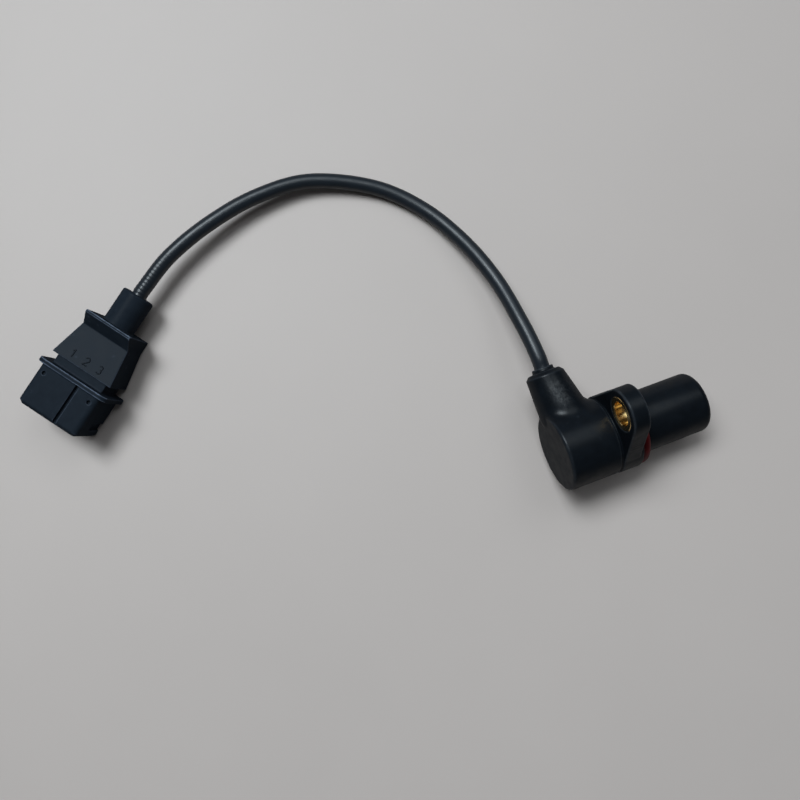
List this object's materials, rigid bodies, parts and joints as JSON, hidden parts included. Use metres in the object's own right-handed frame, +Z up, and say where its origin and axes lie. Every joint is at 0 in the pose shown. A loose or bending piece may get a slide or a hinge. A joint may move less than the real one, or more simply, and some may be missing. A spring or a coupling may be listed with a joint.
{
  "type": "crankshaft position sensor",
  "caption": "Black moulded crankshaft position sensor: a round nose with a red sealing ring, an eared flange with a brass bush, and a side cable that ends in a flat plug.",
  "frame": {"origin": "on the surface that the sensor lies on, under the middle of the sensor head's box (cable and plug left out)", "axes": "+Z up from the surface, +X to the side that the nose points to, +Y to the side that the cable leaves the head on"},
  "size_m": [0.1874, 0.118, 0.0367],
  "materials": {
    "head_plastic": "semi-matte moulded black plastic",
    "plug_plastic": "semi-matte moulded black plastic",
    "cable_black": "semi-matte black cable jacket",
    "bush_brass": "turned, bright",
    "ring_red": "dark red rubber",
    "soft_iron": "turned",
    "magnet_grey": "cast",
    "spool_plastic": "moulded plastic",
    "coil_copper": "enamelled copper wire",
    "tinned": "tinned strip",
    "lead_insulation": "plastic wire insulation"
  },
  "bodies": {
    "root": {"housing": "head_plastic", "nose_sleeve": "head_plastic", "mounting_bush": "bush_brass", "sealing_ring": "ring_red", "pole_pin": "soft_iron", "magnet": "magnet_grey", "coil_bobbin": "spool_plastic", "coil_winding": "coil_copper", "coil_terminal_1": "tinned", "coil_terminal_2": "tinned", "head_lead_1": "lead_insulation", "head_lead_2": "lead_insulation", "cable_jacket": "cable_black", "plug_shell": "plug_plastic", "plug_backshell": "plug_plastic", "blade_1": "tinned", "blade_2": "tinned", "blade_3": "tinned", "plug_lead_1": "lead_insulation", "plug_lead_2": "lead_insulation", "plug_drain": "tinned"}
  },
  "joints": []
}
